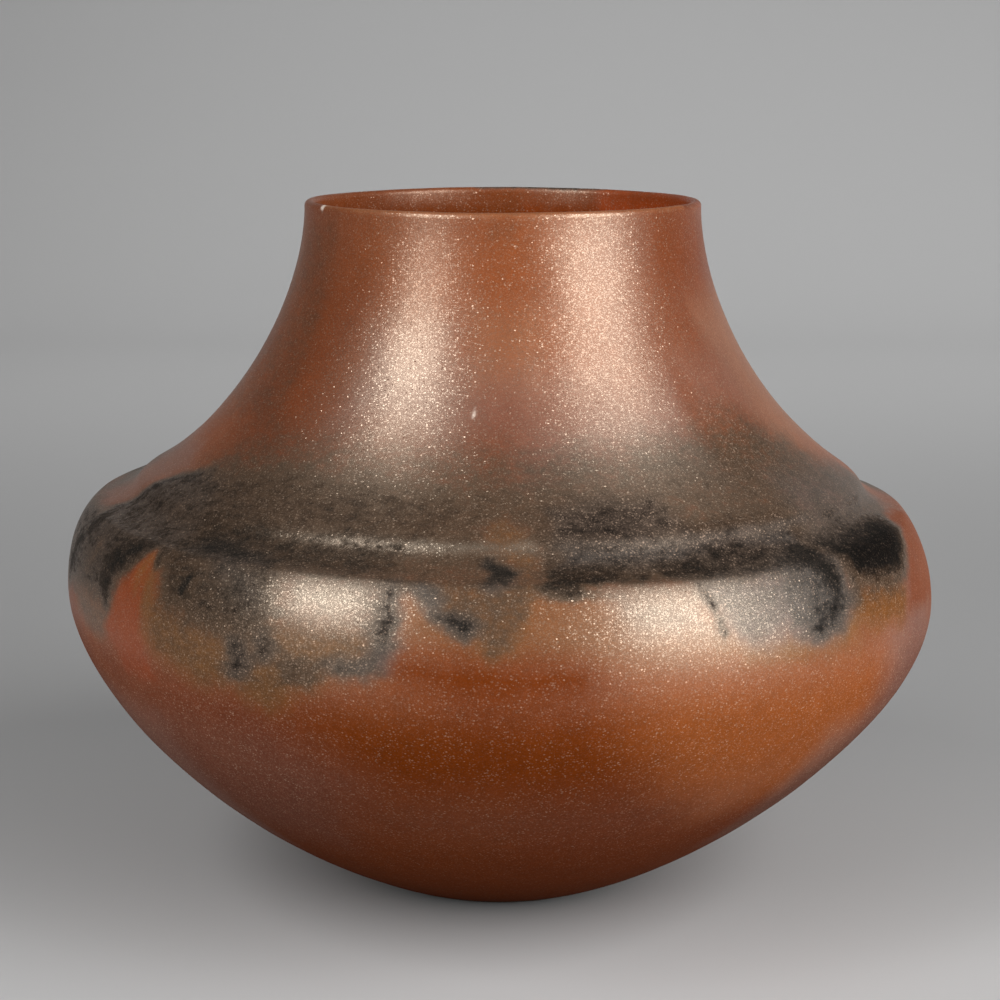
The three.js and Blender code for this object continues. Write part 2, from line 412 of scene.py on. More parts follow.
rightShoulderMarks = [
    ("area", 6, [(8, 12), (9, 23.5), (22, 23.5), (34, 25), (46, 24), (47, 10)],
     {"smoke": 0.72, "ashAndSheen": 0.75, "polish": 0.3}),
    ("area", 8, [(25, 9), (26, 28), (36, 28), (48, 22), (48, 8)], {"smoke": 0.7, "polish": 0.2}),
    ("area", 7, [(6, 1), (7, 12), (22, 13), (34, 13), (46, 10), (47, 0)],
     {"smoke": 0.82, "ashAndSheen": 0.2, "polish": 0.3}),
    ("daub", 3, [(7, 22.5, 0.8), (10, 22.5, 1), (25, 22.5, 1)], {"polish": 0.55}),
    ("daub", 3.5, [(37, 24, 1), (50, 24, 1.5), (72, 23, 1.5)], {"smoke": 0.58, "ashAndSheen": 0.3, "polish": 0.7}),
    ("area", 8, [(6.5, -1), (7, 8), (11, 10), (15, 9), (17, 3), (14, -1), (9, -4), (7, -3)],
     {"smoke": 0.88, "ashAndSheen": 0}),
    ("area", 5, [(15.5, -3), (16, 6), (21, 8), (23, -3)], {"smoke": 0.6, "flash": 0.9, "ashAndSheen": 0}),
    ("daub", 3.5, [(17.5, 1, 2), (18.5, 5, 1.5)], {"smoke": 0.84}),
    ("area", 6, [(22, 11), (21.5, 6), (23, 1), (24, -3), (28, -2), (29, 4), (28, 11)],
     {"smoke": 0.87, "ashAndSheen": 0.1}),
    ("daub", 5, [(26, 0, 3)], {"smoke": 0.95}),
    ("area", 6, [(28, 0), (27, 17), (34, 20), (40, 17), (46, 10), (47, 0), (45, -3)],
     {"smoke": 0.81, "ashAndSheen": 0.3}),
    ("daub", 6, [(35, 17, 2), (37.5, 10, 4), (40, 6, 4)], {"smoke": 0.84, "ashAndSheen": 0.3}),
    ("daub", 3, [(27, 1.5, 1.5), (35, 1.5, 1.5), (43, 3, 3)], {"smoke": 0.92}),
    ("area", 9, [(50, 2), (49, 14), (60, 17), (72, 12), (75, 3)],
     {"smoke": 0.78, "ashAndSheen": 0.5, "polish": 0.6}),
    ("daub", 4, [(10, 29, 2), (30, 29, 2.5), (46, 28, 2)], {"smoke": 0.72, "polish": 0.15}),
    ("daub", 2.2, [(8, 23, 1), (26, 23, 1.2), (50, 24, 1.3), (74, 23, 1.2)],
     {"smoke": 0.64, "ashAndSheen": 0.55, "polish": 0.3}),
]
leftBellyMarks = [
    ("area", 7, [(-80, 3), (-91, -2), (-97, -15), (-92, -30), (-84, -38), (-75, -37), (-68, -34),
                 (-60, -33), (-57, -28), (-58, -8), (-52, -1)],
     {"smoke": 0.74, "ashAndSheen": 0.3}),
    ("daub", 6, [(-70, -4, 3), (-73, -16, 4), (-75, -30, 3)], {"smoke": 0.86, "ashAndSheen": 0.5}),
    ("daub", 5, [(-64, -12, 2), (-65, -24, 3)], {"smoke": 0.6, "ochre": 0.3, "ashAndSheen": 0}),
    ("area", 7, [(-70, -32), (-67, -44), (-61, -49), (-56, -44), (-56, -33)],
     {"smoke": 0.36, "ochre": 0.7, "ashAndSheen": 0.3}),
    ("daub", 7, [(-52, -3, 3), (-55, -8, 7), (-57.5, -17, 7), (-57.5, -28, 5), (-57, -33, 3)],
     {"smoke": 0.91, "ashAndSheen": 0.2}),
    ("area", 9, [(-48, -23), (-48, -38), (-45, -47), (-38, -54), (-33, -52), (-28, -60), (-24, -50),
                 (-18, -40), (-13.5, -38), (-13.5, -18)],
     {"smoke": 0.32, "ochre": 0.95, "polish": 0.5}),
    ("area", 8, [(-47.5, 0), (-46.5, -14), (-45, -25), (-38, -29), (-31, -31), (-26, -20), (-28, 0)],
     {"smoke": 0.74, "ochre": 0.4}),
    ("area", 11, [(-27, 0), (-26, -17), (-22, -19), (-14, -19), (-12.5, -12), (-13, 0)],
     {"smoke": 0.5, "ochre": 0.2, "ashAndSheen": 0.4}),
    ("daub", 12, [(-36, -2, 4), (-32.5, -9, 4), (-31, -14, 3)], {"smoke": 0.79, "ashAndSheen": 0.6}),
    ("area", 15, [(-24, -7), (-24, -13), (-17, -13), (-17, -7)], {"polish": 1.9}),
    ("area", 3.5, [(-49.2, -3), (-51.3, -11), (-53.3, -20), (-55, -31), (-57.5, -43), (-53, -60),
                   (-46, -60), (-48.7, -40), (-48.7, -25), (-48.2, -12)],
     {"smoke": 0, "ochre": 0, "flash": 0.6, "emberAndBounceLight": 0.25, "ashAndSheen": 0}),
    ("daub", 4, [(-48.2, -9, 1), (-47.6, -18, 3), (-47.4, -28, 3)], {"smoke": 0.2, "ochre": 0.8}),
    ("daub", 4, [(-49.4, -6, 1), (-50.2, -14, 2.5), (-50.5, -22, 2)], {"ochre": 0.75, "flash": 0.4}),
    ("daub", 2.5, [(-48, -2, 1.5), (-47.6, -10, 2)], {"smoke": 0.8}),
    ("daub", 1.8, [(-41, -11, 1.4), (-41.7, -18, 1.6)], {"smoke": 0.95}),
    ("daub", 7, [(-32, -34, 2.5), (-31.6, -40, 4.5), (-32.3, -46, 2.5)], {"smoke": 0.86, "ashAndSheen": 0.6}),
    ("daub", 5, [(-28.6, -31, 3), (-28, -35, 4)], {"smoke": 0.78, "ashAndSheen": 0.4}),
    ("area", 5, [(-26, -36), (-25.5, -47), (-22, -48), (-20.5, -42), (-20, -36)], {"smoke": 0.66}),
    ("daub", 6, [(-13.0, -4, 2), (-12.8, -16, 3.6), (-13.2, -26, 5), (-13.8, -33, 4.4), (-15.4, -37, 2.6),
                 (-19, -38, 1.6)],
     {"smoke": 0.83, "ashAndSheen": 0.7, "polish": 0.6}),
]
middleMarks = [
    ("area", 26, [(-20, -58), (-18, -108), (14, -108), (16, -80), (12, -58)],
     {"flash": 0.85, "smoke": 0.07}),
    ("area", 24, [(-20, -100), (-20, -136), (40, -136), (40, -100)],
     {"flash": 0.4, "smoke": 0.1, "ashAndSheen": 0.1}),
    ("daub", 13, [(-12, -35, 4), (-8, -37, 6), (-3, -39, 8), (4, -39, 7), (9, -37, 4)],
     {"flash": 1, "ochre": 0, "smoke": 0.07, "polish": 0}),
    ("area", 7, [(-10, -1), (-8.5, -12), (-6, -20), (-3, -23), (-1, -28), (1.3, -26), (2.5, -15), (3, -3),
                 (2.5, 0)],
     {"smoke": 0.44, "ochre": 0.8, "polish": 0.85}),
    ("daub", 5, [(-9.2, -3, 3), (-8, -9, 4)], {"smoke": 0.66, "ashAndSheen": 0.8}),
    ("daub", 5, [(2, -8, 2.5), (1, -18, 3.5), (-0.5, -25, 3.5)], {"smoke": 0.46, "ochre": 0.8}),
    ("daub", 5, [(-6, -15, 3), (-4.2, -18, 4.4)], {"smoke": 0.93, "ashAndSheen": 0.8, "polish": 0.6}),
    ("daub", 4, [(5.8, -1, 2.5), (8.5, -3.5, 3), (10, -2, 2)], {"smoke": 0.86}),
    ("daub", 2.5, [(11, -2, 2), (17, -3, 2.5), (24, -2, 2)], {"smoke": 0.34, "flash": 0.5}),
]
rightBellyMarks = [
    # painted light: the right of the belly is lighter, as if lit more strongly from the right
    ("area", 24, [(16, -34), (16, -66), (22, -96), (32, -124), (48, -120), (56, -84), (58, -34)],
     {"paintedLight": 0.6}),
    # painted sheen: the lower left of the belly is greyed, as if by the haze of reflected light
    ("area", 24, [(-96, -54), (-30, -66), (-18, -92), (-28, -150), (-84, -160), (-110, -106)],
     {"ashAndSheen": 0.2}),
    ("area", 14, [(-98, -80), (-120, -116), (-102, -158), (-80, -178), (-48, -170), (-50, -80)],
     {"ashAndSheen": 0.3, "polish": 4}),
    # painted sheen: the lower right of the belly is greyed, as if by the tail of the right highlight
    ("area", 20, [(56, -36), (58, -90), (48, -160), (82, -174), (108, -132), (117, -90), (99, -44)],
     {"ashAndSheen": 0.34}),
    ("area", 14, [(48, -80), (44, -170), (78, -180), (100, -152), (124, -118), (105, -82)],
     {"smoke": 0.13, "ashAndSheen": 0.25, "polish": 1.5}),
    ("area", 10, [(13, -3), (15, -20), (25, -23), (25, -3)], {"smoke": 0.3, "ashAndSheen": 0.35, "polish": 1.3}),
    ("area", 7, [(48.5, -12), (47, -24), (53, -34), (61, -34), (63, -22), (58, -12)],
     {"smoke": 0.22, "ochre": 0.75, "ashAndSheen": 0, "polish": 0.06}),
    ("area", 6, [(24, -22), (30, -34), (40, -36), (47, -33), (50, -22), (40, -24)], {"ochre": 0.95}),
    ("area", 8, [(24.8, -1), (25.8, -10), (27, -19), (29, -26), (33, -29), (36, -26), (38, -28),
                 (41, -30.5), (44, -28), (46.5, -20), (47.3, -10), (46.8, 0)],
     {"smoke": 0.48, "ochre": 0, "ashAndSheen": 0.85, "polish": 0.82}),
    ("daub", 16, [(42, -4, 8), (42, -18, 7)], {"smoke": 0.74, "ashAndSheen": 0.95, "polish": 0.75}),
    ("daub", 2.2, [(24.8, -1, 1.8), (25.6, -9, 1.9), (26.3, -16, 1.9), (27, -23, 1.6)],
     {"smoke": 0.67, "polish": 0.6}),
    ("daub", 9, [(44.4, 2, 6), (46, -6, 7.5), (46.2, -14, 7.5), (44.4, -21, 6), (41.2, -26, 3)],
     {"smoke": 0.91, "ashAndSheen": 0.9, "polish": 0.4}),
    ("daub", 6, [(42.5, 5, 4), (45.5, 4, 4.5), (46.6, -6, 3)], {"smoke": 0.93, "ashAndSheen": 0.5}),
    ("daub", 4, [(37.4, -11, 1.8), (37.6, -20, 2)], {"smoke": 0.7, "ashAndSheen": 1, "polish": 0.6}),
    ("daub", 4, [(49.4, -2, 1.5), (49.6, -10, 1.5), (49.4, -18, 3)],
     {"smoke": 0.5, "ochre": 1, "polish": 0.4}),
    ("area", 16, [(49, 10), (49, -7), (51.5, -12), (60, -14), (65, -12), (70, 0), (72, 10), (66, 14),
                  (58, 14)],
     {"smoke": 0.82, "polish": 0.35}),
    ("area", 13, [(52, 3), (52, -8), (57, -11), (63, -12), (66, -8), (69, -1), (70, 4), (64, 5)],
     {"smoke": 1.06, "polish": 0}),
    ("area", 18, [(70, -30), (76, -8), (86, 8), (98, 4), (108, -14), (98, -36), (78, -42)],
     {"smoke": 0, "ochre": 0, "flash": 0.4, "ashAndSheen": 0, "polish": 0.35}),
    ("area", 5, [(62.5, -32), (64, -20), (67, -13), (71.5, -3), (76, 8), (83, 6), (86, -16), (80, -36)],
     {"smoke": 0, "ochre": 0, "flash": 0.4, "ashAndSheen": 0, "polish": 0.35}),
]
# Round the back the fire left clouds of the same kind
hiddenSideMarks = [
    ("area", 26, [(94, -10), (104, 58), (122, 70), (150, 64), (172, 52), (188, 28), (194, -10)],
     {"smoke": 0.58}),
    ("area", 26, [(203, -8), (212, 50), (232, 66), (252, 60), (270, 34), (274, -8)], {"smoke": 0.54}),
    ("area", 9, [(104, 0), (106, 24), (128, 28), (152, 24), (156, 0)], {"smoke": 0.76}),
    ("area", 9, [(216, 0), (219, 22), (240, 26), (256, 18), (258, 0)], {"smoke": 0.74}),
    ("area", 5, [(108, 2), (107, -16), (113, -27), (124, -30), (133, -22), (136, 0)],
     {"smoke": 0.62, "ashAndSheen": 0.7}),
    ("area", 8, [(108, -18), (112, -38), (126, -42), (138, -28), (136, -16)], {"ochre": 0.9}),
    ("daub", 6, [(136, 3, 6), (137.5, -8, 6), (136.5, -19, 5), (133, -26, 3)], {"smoke": 0.9, "ashAndSheen": 0.5}),
    ("area", 6, [(144, 3), (143, -12), (149, -22), (157, -17), (160, 0)], {"smoke": 0.9}),
    ("daub", 7, [(151, -24, 6), (154, -29, 4)], {"smoke": 0.24, "ochre": 0.9}),
    ("daub", 6, [(176, 6, 5), (178, -4, 6), (177, -14, 4)], {"smoke": 0.82, "ashAndSheen": 0.5}),
    ("area", 9, [(196, -30), (198, -50), (214, -52), (218, -34)], {"flash": 0.9}),
    ("area", 6, [(222, 1), (221, -18), (230, -31), (244, -26), (250, -10), (250, 1)],
     {"smoke": 0.7, "ashAndSheen": 0.4}),
    ("area", 8, [(222, -20), (228, -44), (243, -40), (250, -16)], {"ochre": 0.85}),
    ("daub", 5, [(231, -30, 4), (230, -38, 5)], {"smoke": 0.88, "ashAndSheen": 0.6}),
    ("daub", 5, [(250, 2, 4), (251, -8, 5), (249, -18, 3)], {"smoke": 0.9}),
    ("daub", 2.5, [(146, 178, 1.2), (158, 178.5, 2.2), (174, 178.5, 2), (189, 178, 1.2)],
     {"smoke": 0.84, "ashAndSheen": 0.5}),
]
firingAndLightMarks = (neckMarks + leftShoulderMarks + rightShoulderMarks + leftBellyMarks + middleMarks
              + rightBellyMarks + hiddenSideMarks)
markEdges = {"raggedness": 2.2, "raggedSize": 7, "fadeShare": 0.55, "finer": 2.3, "finerShare": 0.5}
arcPerDegree = math.radians(edge[0])  # mm round the shoulder edge in one degree


def daubDistance(u, v, discs):
    nearest = np.full(len(u), np.inf)
    for (au, av, aSize), (bu, bv, bSize) in zip(discs, discs[1:] or discs):
        run, climb = (bu - au) * arcPerDegree, bv - av
        across, up = (u - au) * arcPerDegree, v - av
        share = np.clip((across * run + up * climb) / max(run ** 2 + climb ** 2, 1e-9), 0, 1)
        gap = np.hypot(across - run * share, up - climb * share) - (aSize + (bSize - aSize) * share)
        nearest = np.minimum(nearest, gap)
    return nearest


def areaDistance(u, v, corners):
    nearest = np.full(len(u), np.inf)
    within = np.zeros(len(u), bool)
    for (au, av), (bu, bv) in zip(corners, corners[1:] + corners[:1]):
        nearest = np.minimum(nearest, daubDistance(u, v, [(au, av, 0), (bu, bv, 0)]))
        crosses = (av > v) != (bv > v)
        crossing = au + (bu - au) * (v - av) / (bv - av if bv != av else 1e-9)
        within ^= crosses & (u < crossing)
    return np.where(within, -nearest, nearest)


def layFiringAndLightMarks(piece, place, azimuth):
    points = vertexPlaces(piece) / mm / markEdges["raggedSize"]
    finer, finerShare = markEdges["finer"], markEdges["finerShare"]
    ragged = np.array([noise.noise(Vector(point)) + finerShare * noise.noise(Vector(point * finer))
                       for point in points])
    markValues = {name: np.full(len(place), float(value)) for name, value in neutralMarks.items()}
    measure = {"daub": daubDistance, "area": areaDistance}
    for kind, fade, spots, colours in firingAndLightMarks:
        middle = sum(spot[0] for spot in spots) / len(spots)
        around = middle + (azimuth - middle + 180) % 360 - 180
        raggedness = min(markEdges["fadeShare"] * fade, markEdges["raggedness"])
        gap = measure[kind](around, place, spots) + ragged * raggedness
        cover = np.clip(0.5 - gap / (2 * fade), 0, 1)
        cover = cover ** 2 * (3 - 2 * cover)
        for name, value in colours.items():
            markValues[name] += (value - markValues[name]) * cover
    for name, values in markValues.items():
        layer = piece.data.attributes.new(name, "FLOAT", "POINT")
        layer.data.foreach_set("value", values)


# The bake map unrolls a course into a few strips, one above another
bakeMap = {"strips": 4, "margin": 0.01}


def layBakeMap(piece, section, rowOf, azimuth):
    mesh = piece.data
    steps = np.linalg.norm(np.diff(section[:, :2], axis=0), axis=1)
    along = np.concatenate([[0], np.cumsum(steps)])
    whole = along[-1] + np.linalg.norm(section[0, :2] - section[-1, :2])
    corners = np.empty(len(mesh.loops), int)
    mesh.loops.foreach_get("vertex_index", corners)
    sizes = np.empty(len(mesh.polygons), int)
    mesh.polygons.foreach_get("loop_total", sizes)
    face = np.repeat(np.arange(len(sizes)), sizes)
    onAxis = section[rowOf[corners], 0] < mm
    first = np.full(len(sizes), np.nan)
    first[face[~onAxis][::-1]] = azimuth[corners[~onAxis][::-1]]
    turn = first[face] + (azimuth[corners] - first[face] + 180) % 360 - 180
    turn = np.where(onAxis, first[face], turn) + 180
    middle = np.bincount(face, turn) / sizes
    strip = np.clip(np.floor(middle / 360 * bakeMap["strips"]), 0, bakeMap["strips"] - 1)[face]
    place = along[rowOf[corners]]
    highest = np.zeros(len(sizes))
    np.maximum.at(highest, face, place)
    place = np.where((rowOf[corners] == 0) & (highest[face] > whole / 2), whole, place)
    inset = 1 - 2 * bakeMap["margin"]
    u = bakeMap["margin"] + inset * (turn / 360 * bakeMap["strips"] - strip)
    v = (strip + bakeMap["margin"] + inset * place / whole) / bakeMap["strips"]
    layer = mesh.uv_layers[0] if mesh.uv_layers else mesh.uv_layers.new()
    layer.name = "OFBake"
    layer.data.foreach_set("uv", np.column_stack([u, v]).astype(np.float32).ravel())


def addNode(tree, kind, settings, inputs):
    node = tree.nodes.new(kind)
    for name, value in settings.items():
        setattr(node, name, value)
    for socket, value in inputs.items():
        if isinstance(value, bpy.types.NodeSocket):
            tree.links.new(value, node.inputs[socket])
        else:
            node.inputs[socket].default_value = value
    return node


def sumNode(tree, operation, first, second=0.0, third=0.0):
    inputs = {0: first, 1: second, 2: third}
    return addNode(tree, "ShaderNodeMath", {"operation": operation}, inputs).outputs[0]


def rangeNode(tree, value, low, high, start=0.0, end=1.0):
    inputs = {"Value": value, "From Min": low, "From Max": high, "To Min": start, "To Max": end}
    settings = {"interpolation_type": "SMOOTHSTEP"}
    return addNode(tree, "ShaderNodeMapRange", settings, inputs).outputs[0]


def blendNode(tree, factor, first, second, mode="MIX"):
    settings = {"data_type": "RGBA", "blend_type": mode}
    return addNode(tree, "ShaderNodeMix", settings, {0: factor, 6: first, 7: second}).outputs[2]


def vectorNode(tree, operation, inputs):
    return addNode(tree, "ShaderNodeVectorMath", {"operation": operation}, inputs).outputs[0]


def stretchNode(tree, place, scale):
    return addNode(tree, "ShaderNodeMapping", {}, {"Vector": place, "Scale": scale}).outputs[0]


def noiseNode(tree, place, scale, detail=3.0, rough=0.55):
    inputs = {"Vector": place, "Scale": scale, "Detail": detail, "Roughness": rough}
    return addNode(tree, "ShaderNodeTexNoise", {}, inputs).outputs[0]


# Mica clay burnished with a stone: a satin ground full of flakes that lie nearly flat
clayFinish = {
    "terracotta": (0.26, 0.06, 0.0115, 1),
    "redClay": (0.2, 0.043, 0.0105, 1),
    "flash": (0.165, 0.029, 0.001, 1),
    # painted light: a lighter terracotta laid where the clay should look more strongly lit
    "paintedLight": (0.36, 0.1, 0.022, 1),
    # the red of a flame flash, also used as painted bounce light inside the mouth
    "emberAndBounceLight": (0.5, 0.07, 0.007, 1),
    "ochre": (0.215, 0.085, 0.019, 1),
    # the brown of smoke, also used for painted shade at the foot
    "smokeBrown": (0.072, 0.039, 0.021, 1),
    # painted shade: the colour the lower body darkens to towards the foot, and the height in metres where it
    # starts
    "footShadeColour": (0.1, 0.021, 0.005, 1),
    "footShadeReach": 0.165,
    "charcoal": (0.007, 0.006, 0.0053, 1),
    "bareClay": (0.95, 0.78, 0.66, 1),
    "mica": (0.86, 0.6, 0.43, 1),
    "micaIndex": 1.8,
    "micaTint": (1, 0.83, 0.65, 1),
    "groundShine": 0.7,
    "flakeShine": 1.35,
    "scrapedShine": 0.02,
    "burnishedFrom": (0.118, 0.163),  # metres above the floor
    "sootedShine": 0.22,
    "groundRoughness": 0.43,
    "flakeRoughness": 0.36,
    "mattRoughness": 0.8,
    "strokeSpread": 0.45,  # the strokes run round the jar, so a highlight spreads up and down
    "coarseFlakes": {"perMetre": 950, "share": 0.75, "tilt": 0.22, "wildness": 0.4},
    "fineFlakes": {"perMetre": 1600, "share": 0.85, "tilt": 0.15, "wildness": 0.1},
    "flakeSquash": (1, 1, 1.3),
    "flakeOutline": (0.72, 0.4),
    "wildPower": 4.0,
    "rankPower": 2.2,
    "coarseMetal": 0.55,
    "fineMetal": 0.28,
    "patchScale": 150,  # coarse flakes gather in patches
    "patchEdge": (0.3, 0.6),
    "patchLeast": 0.15,
    "burnishDamping": (-0.2, 0.75),  # what dims or lifts the flakes: a slope and a start, or a range
    "flashDamping": (-0.4, 1.0),
    "smokeLift": (0.1, 0.6, 1.0, 1.2),
    "footDamping": (0.02, 0.12, 0.1, 1.0),
    "sootDamping": (0.62, 0.95, 1.0, 0.16),
}

# Smoke lies in blotches and flecks along the wall, and breaks up into grains where it fades out
smokeGrain = {
    "grainScale": 330,
    "fleckStretch": (110, 110, 330),
    "fleckShare": 0.9,
    "blotchScale": 48,
    "blotchShare": 0.5,
    "middle": 1.2,
    "strength": 1.6,
    "densest": 1.12,  # smoke of this strength has no grain left
    "browned": (0.0, 0.62),
    "sootedAndShaded": (0.54, 0.98),
    "dulled": (0.58, 0.86),
    "ashAndSheenFade": -0.75,
}

# The clay itself is uneven: broad drifts of redder clay, a mottle and a fine grit
clayBody = {
    "driftScale": 9,
    "driftEdge": (0.35, 0.65),
    "mottleScale": 120,
    "mottleShare": 0.34,
    "gritScale": 900,
    "gritShare": 0.5,
    "darkest": 0.58,
}

# The burnishing stone left low facets and fine strokes round the jar; depths are in metres
stoneMarks = {
    "facetScale": 42,
    "facetStrength": 0.6,
    "facetDepth": 0.0006,
    "strokeStretch": (60, 60, 700),
    "strokeShare": 0.3,
    "strokeStrength": 0.2,
    "strokeDepth": 0.0003,
    "spreadTurn": 0.25,  # of a whole turn
    "polishedBy": 0.6,
}


# The cover of one size of flake, how far each leans, and how strongly each shows
def micaFlakes(tree, place, size):
    cells = addNode(tree, "ShaderNodeTexVoronoi", {"distance": "MANHATTAN"},
                    {"Vector": place, "Scale": size["perMetre"]})
    draw = addNode(tree, "ShaderNodeTexWhiteNoise", {}, {"Vector": cells.outputs["Position"]})
    chance = draw.outputs["Value"]
    present = sumNode(tree, "LESS_THAN", chance, size["share"])
    outline = rangeNode(tree, cells.outputs["Distance"], *clayFinish["flakeOutline"])
    flake = sumNode(tree, "MULTIPLY", present, outline)
    turned = vectorNode(tree, "SUBTRACT", {0: cells.outputs["Color"], 1: (0.5, 0.5, 0.5)})
    rank = sumNode(tree, "DIVIDE", chance, size["share"])
    wild = sumNode(tree, "POWER", rank, clayFinish["wildPower"])
    amount = sumNode(tree, "MULTIPLY_ADD", wild, size["wildness"], size["tilt"])
    amount = sumNode(tree, "MULTIPLY", amount, flake)
    tilt = vectorNode(tree, "SCALE", {0: turned, 3: amount})
    return flake, tilt, sumNode(tree, "POWER", rank, clayFinish["rankPower"])


def makeClay():
    clay = bpy.data.materials.new("burnishedMicaClay")
    clay.use_nodes = True
    tree = clay.node_tree
    tree.nodes.clear()
    place = addNode(tree, "ShaderNodeTexCoord", {}, {}).outputs["Object"]
    field = {}
    for name in neutralMarks:
        field[name] = addNode(tree, "ShaderNodeAttribute", {"attribute_name": name}, {}).outputs["Fac"]

    # ground colour: drifts of redder clay, painted shade darkening it towards the foot, then the flashed,
    # ember-red and ochre patches, painted light and painted bounce light
    drift = noiseNode(tree, place, clayBody["driftScale"], 2)
    drift = rangeNode(tree, drift, *clayBody["driftEdge"])
    ground = blendNode(tree, drift, clayFinish["terracotta"], clayFinish["redClay"])
    height = addNode(tree, "ShaderNodeSeparateXYZ", {}, {0: place}).outputs[2]
    # painted shade: darker towards the foot
    footShade = rangeNode(tree, height, clayFinish["footShadeReach"], 0.0)
    ground = blendNode(tree, footShade, ground, clayFinish["footShadeColour"])
    for name in ("flash", "paintedLight", "emberAndBounceLight", "ochre"):
        ground = blendNode(tree, field[name], ground, clayFinish[name])

    grain = noiseNode(tree, place, smokeGrain["grainScale"], 5, 0.7)
    flecks = noiseNode(tree, stretchNode(tree, place, smokeGrain["fleckStretch"]), 1, 4, 0.6)
    blotches = noiseNode(tree, place, smokeGrain["blotchScale"], 4)
    ruffle = sumNode(tree, "MULTIPLY_ADD", flecks, smokeGrain["fleckShare"], grain)
    ruffle = sumNode(tree, "SUBTRACT", ruffle, smokeGrain["middle"])
    ruffle = sumNode(tree, "MULTIPLY_ADD", blotches, smokeGrain["blotchShare"], ruffle)
    clear = sumNode(tree, "SUBTRACT", smokeGrain["densest"], field["smoke"])
    edges = sumNode(tree, "MULTIPLY", field["smoke"], clear)
    ruffle = sumNode(tree, "MULTIPLY", ruffle, edges)
    smoke = sumNode(tree, "MULTIPLY_ADD", ruffle, smokeGrain["strength"], field["smoke"])
    browned = rangeNode(tree, smoke, *smokeGrain["browned"])
    sootedAndShaded = rangeNode(tree, smoke, *smokeGrain["sootedAndShaded"])
    blackened = blendNode(tree, browned, ground, clayFinish["smokeBrown"])
    blackened = blendNode(tree, sootedAndShaded, blackened, clayFinish["charcoal"])
    # greyed by ash, and by painted sheen where a mark stands in for the haze of a highlight
    faded = sumNode(tree, "MULTIPLY_ADD", field["ashAndSheen"], smokeGrain["ashAndSheenFade"], 1.0)
    ashenAndSheened = addNode(tree, "ShaderNodeHueSaturation", {}, {"Saturation": faded, "Color": blackened}).outputs[0]
    mottle = noiseNode(tree, place, clayBody["mottleScale"], 4, 0.6)
    grit = noiseNode(tree, place, clayBody["gritScale"], 2)
    shade = sumNode(tree, "MULTIPLY_ADD", mottle, clayBody["mottleShare"], clayBody["darkest"])
    shade = sumNode(tree, "MULTIPLY_ADD", grit, clayBody["gritShare"], shade)
    shaded = addNode(tree, "ShaderNodeHueSaturation", {}, {"Value": shade, "Color": ashenAndSheened}).outputs[0]
    shaded = blendNode(tree, field["bare"], shaded, clayFinish["bareClay"])

    # two sizes of flake: the fine ones mostly shine, the coarse ones are also seen by themselves
    lying = stretchNode(tree, place, clayFinish["flakeSquash"])
    coarse, coarseTilt, coarseRank = micaFlakes(tree, lying, clayFinish["coarseFlakes"])
    fine, fineTilt, fineRank = micaFlakes(tree, lying, clayFinish["fineFlakes"])
    burnish = rangeNode(tree, height, *clayFinish["burnishedFrom"], clayFinish["scrapedShine"], 1.0)
    burnish = sumNode(tree, "MULTIPLY", burnish, field["polish"])
    dulled = rangeNode(tree, smoke, *smokeGrain["dulled"], 1.0, clayFinish["sootedShine"])
    flakes = sumNode(tree, "MAXIMUM", coarse, fine)
    shine = rangeNode(tree, flakes, 0.0, 1.0, clayFinish["groundShine"], clayFinish["flakeShine"])
    shine = sumNode(tree, "MULTIPLY", sumNode(tree, "MULTIPLY", shine, burnish), dulled)
    patches = noiseNode(tree, place, clayFinish["patchScale"], 2)
    patches = rangeNode(tree, patches, *clayFinish["patchEdge"], clayFinish["patchLeast"],
                        clayFinish["coarseMetal"])
    metal = sumNode(tree, "MULTIPLY", sumNode(tree, "MULTIPLY", coarse, coarseRank), patches)
    dust = sumNode(tree, "MULTIPLY", sumNode(tree, "MULTIPLY", fine, fineRank), clayFinish["fineMetal"])
    dust = sumNode(tree, "MULTIPLY", dust, sumNode(tree, "SUBTRACT", 1.0, field["flash"]))
    metal = sumNode(tree, "MAXIMUM", metal, dust)
    for share in (sumNode(tree, "MULTIPLY_ADD", burnish, *clayFinish["burnishDamping"]),
                  sumNode(tree, "MULTIPLY_ADD", field["flash"], *clayFinish["flashDamping"]),
                  rangeNode(tree, smoke, *clayFinish["smokeLift"]),
                  rangeNode(tree, height, *clayFinish["footDamping"]),
                  rangeNode(tree, smoke, *clayFinish["sootDamping"])):
        metal = sumNode(tree, "MULTIPLY", metal, share)
    colour = blendNode(tree, metal, shaded, clayFinish["mica"])

    # facets first, and the strokes on them
    facets = addNode(tree, "ShaderNodeBump", {}, {
        "Strength": stoneMarks["facetStrength"], "Distance": stoneMarks["facetDepth"],
        "Height": noiseNode(tree, place, stoneMarks["facetScale"], 1),
    }).outputs[0]
    strokes = noiseNode(tree, stretchNode(tree, place, stoneMarks["strokeStretch"]), 1, 3)
    relief = sumNode(tree, "MULTIPLY_ADD", strokes, stoneMarks["strokeShare"], grain)
    bump = addNode(tree, "ShaderNodeBump", {}, {
        "Strength": stoneMarks["strokeStrength"], "Distance": stoneMarks["strokeDepth"],
        "Height": relief, "Normal": facets,
    }).outputs[0]
    tilt = vectorNode(tree, "ADD", {0: fineTilt, 1: coarseTilt})
    facing = vectorNode(tree, "NORMALIZE", {0: vectorNode(tree, "ADD", {0: bump, 1: tilt})})

